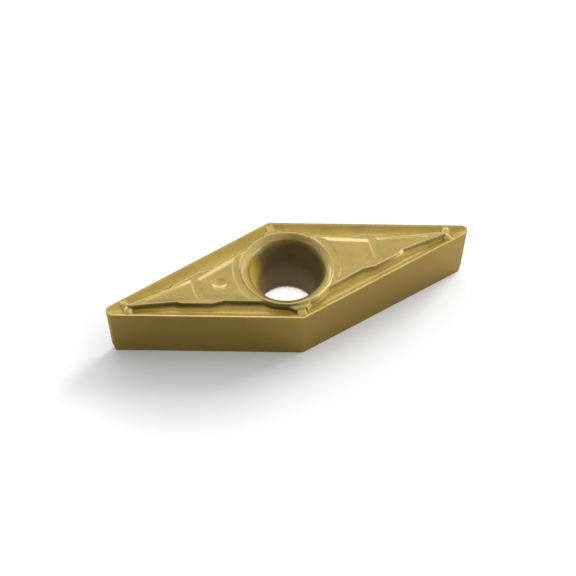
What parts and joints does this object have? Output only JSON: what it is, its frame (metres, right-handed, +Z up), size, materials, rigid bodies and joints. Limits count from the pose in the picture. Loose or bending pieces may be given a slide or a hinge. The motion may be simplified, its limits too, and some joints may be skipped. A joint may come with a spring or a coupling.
{
  "type": "carbide turning insert",
  "caption": "Rhombic 35 degree turning insert with 5 degree relief, a countersunk screw hole and a moulded chip-breaker on its one cutting face.",
  "frame": {"origin": "on the axis of the screw hole, in the plane of the seat face", "axes": "+X along the long diagonal to a cutting nose, +Y along the short diagonal, +Z up the screw hole to the cutting face"},
  "size_m": [0.0294, 0.01, 0.0051],
  "materials": {
    "insert_body": "satin gold-brown coating, fine sintered grain"
  },
  "bodies": {
    "root": {"insert_body": "insert_body"}
  },
  "joints": []
}
